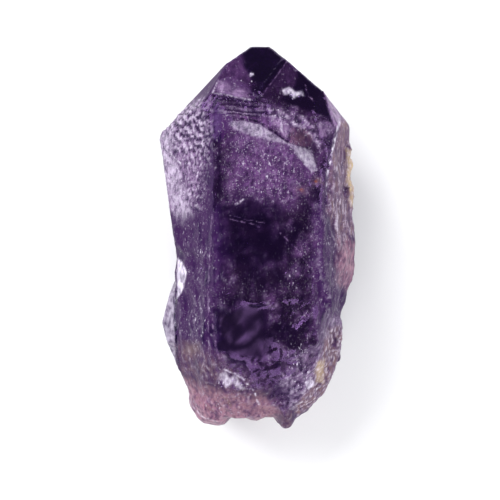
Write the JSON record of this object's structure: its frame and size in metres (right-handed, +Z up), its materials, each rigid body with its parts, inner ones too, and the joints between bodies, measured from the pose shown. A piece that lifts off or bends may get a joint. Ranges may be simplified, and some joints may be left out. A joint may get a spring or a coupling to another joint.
{
  "type": "rough amethyst point",
  "caption": "Rough amethyst point: a six-sided violet quartz crystal with a faceted tip and a broken, lobed foot, lying on its flat back face.",
  "frame": {"origin": "middle of the crystal's bounding box, on the surface that it lies on", "axes": "+Y along the crystal's long axis towards its tip, +Z up through the front prism face, +X towards the edge with the pale rind"},
  "size_m": [0.0456, 0.0894, 0.0361],
  "materials": {
    "amethyst": "natural growth faces with a glassy lustre, frosted where etched or broken"
  },
  "bodies": {
    "root": {"amethyst_point": "amethyst"}
  },
  "joints": []
}
